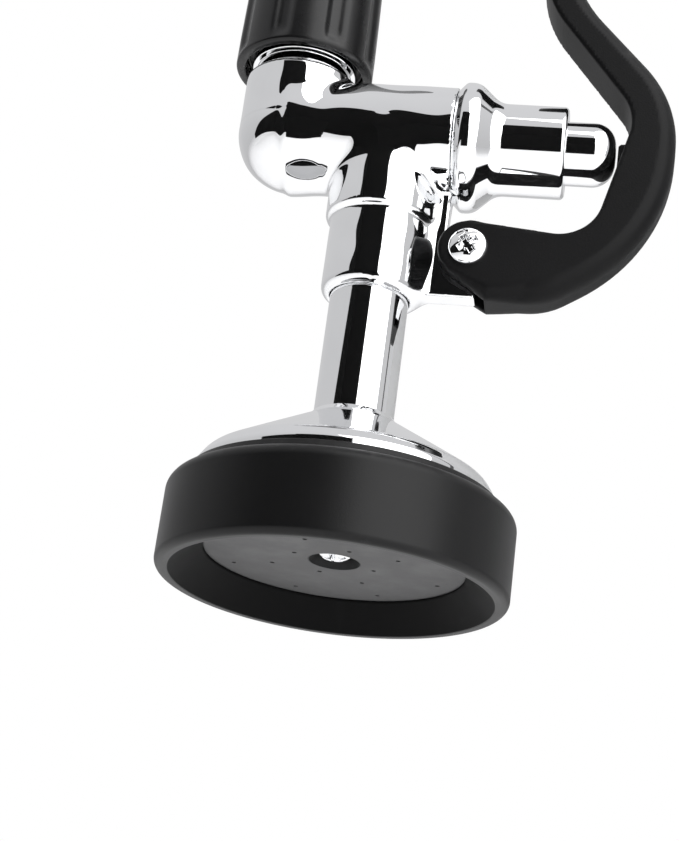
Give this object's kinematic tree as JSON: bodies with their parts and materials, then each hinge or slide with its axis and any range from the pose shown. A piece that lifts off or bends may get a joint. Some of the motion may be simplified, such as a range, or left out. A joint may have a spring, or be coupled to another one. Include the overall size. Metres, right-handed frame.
{
  "type": "pre-rinse spray valve",
  "caption": "Squeeze-lever pre-rinse spray valve with fluted grip, hose inlet, push-button valve, screw-off spray head and rubber rim guard.",
  "frame": {"origin": "centre of the hose inlet's mouth at the head of the grip", "axes": "+Z out of the hose inlet along the grip, +X towards the squeeze lever, +Y completes the right-handed frame"},
  "size_m": [0.0909, 0.066, 0.23],
  "materials": {
    "chrome": "polished",
    "rubber": "matt",
    "black_plastic": "fine grain",
    "face_plastic": "matt",
    "brass": "machined",
    "steel": "drawn wire"
  },
  "bodies": {
    "valve": {"body_casting": "chrome", "grip_lock_ring": "chrome", "valve_seat": "brass", "bonnet": "chrome", "bonnet_o_ring": "rubber", "stem_seal": "rubber", "seal_keeper": "brass", "return_spring": "steel", "pivot_bushing": "brass", "grip_sleeve": "black_plastic", "inlet_tube": "brass", "hose_coupling": "chrome", "hose_washer": "rubber"},
    "button": {"push_button": "chrome", "valve_stem": "brass", "washer_cup": "brass", "seat_washer": "rubber", "washer_screw": "brass"},
    "lever": {"lever": "black_plastic", "pivot_screw": "chrome", "pivot_nut": "chrome"},
    "head_seal": {"tube_washer": "rubber"},
    "spray_head": {"outlet_tube": "chrome", "tube_o_ring": "rubber", "spray_dome": "chrome", "spray_spider": "brass", "face_gasket": "rubber", "spray_face": "face_plastic", "face_screw": "chrome", "bumper": "rubber"}
  },
  "joints": [
    {"name": "lever_squeeze", "type": "hinge", "parent": "valve", "child": "lever", "pos_m": [0.0382, 0, -0.1605], "axis": [0, -1, 0], "range_deg": [0, 8.6]},
    {"name": "button_press", "type": "slide", "parent": "valve", "child": "button", "axis": [-1, 0, 0], "range_m": [0, 0.0041], "stiffness_N_per_m": 60, "springref_m": -0.006, "deforming": ["return_spring"]},
    {"name": "head_advance", "type": "slide", "parent": "valve", "child": "head_seal", "axis": [0, 0, -1], "range_m": [0, 0.0061]},
    {"name": "head_unscrew", "type": "hinge", "parent": "head_seal", "child": "spray_head", "pos_m": [0.0197, 0, -0.17], "axis": [0, 0, -1], "range_deg": [0, 1080]}
  ],
  "couplings": [
    {"joint": "button_press", "follows": "lever_squeeze", "m_per_rad": 0.025},
    {"joint": "head_advance", "follows": "head_unscrew", "m_per_rad": 0.00031831}
  ]
}
